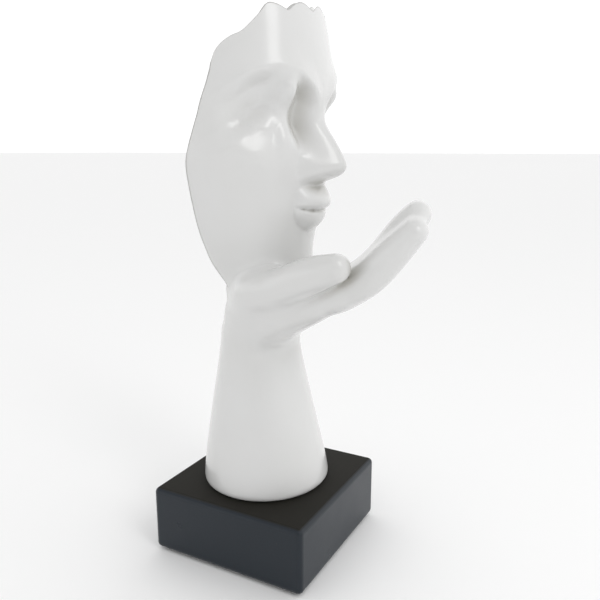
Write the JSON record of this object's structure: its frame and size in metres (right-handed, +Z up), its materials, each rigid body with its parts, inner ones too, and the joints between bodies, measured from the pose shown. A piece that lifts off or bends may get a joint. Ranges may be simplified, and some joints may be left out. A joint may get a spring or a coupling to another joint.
{
  "type": "abstract face sculpture",
  "caption": "Hollow-backed face mask with closed eyes resting on an open right hand whose flared forearm stands on a square plinth; a shelf ornament.",
  "frame": {"origin": "middle of the felt's underside, on the surface that the sculpture stands on", "axes": "+Z up, -Y the way the face looks, -X the side of the figure's right cheek and of the thumb"},
  "size_m": [0.1044, 0.1519, 0.3111],
  "materials": {
    "white_resin": "gloss white cast resin",
    "black_paint": "satin black paint on wood board",
    "steel": "zinc-plated",
    "felt": "black felt"
  },
  "bodies": {
    "root": {"face_mask": "white_resin", "hand_and_forearm": "white_resin", "mask_pin_right": "steel", "mask_pin_left": "steel", "plinth": "black_paint", "threaded_stud": "steel", "washer": "steel", "hex_nut": "steel", "locating_dowel": "steel", "base_felt": "felt"}
  },
  "joints": []
}
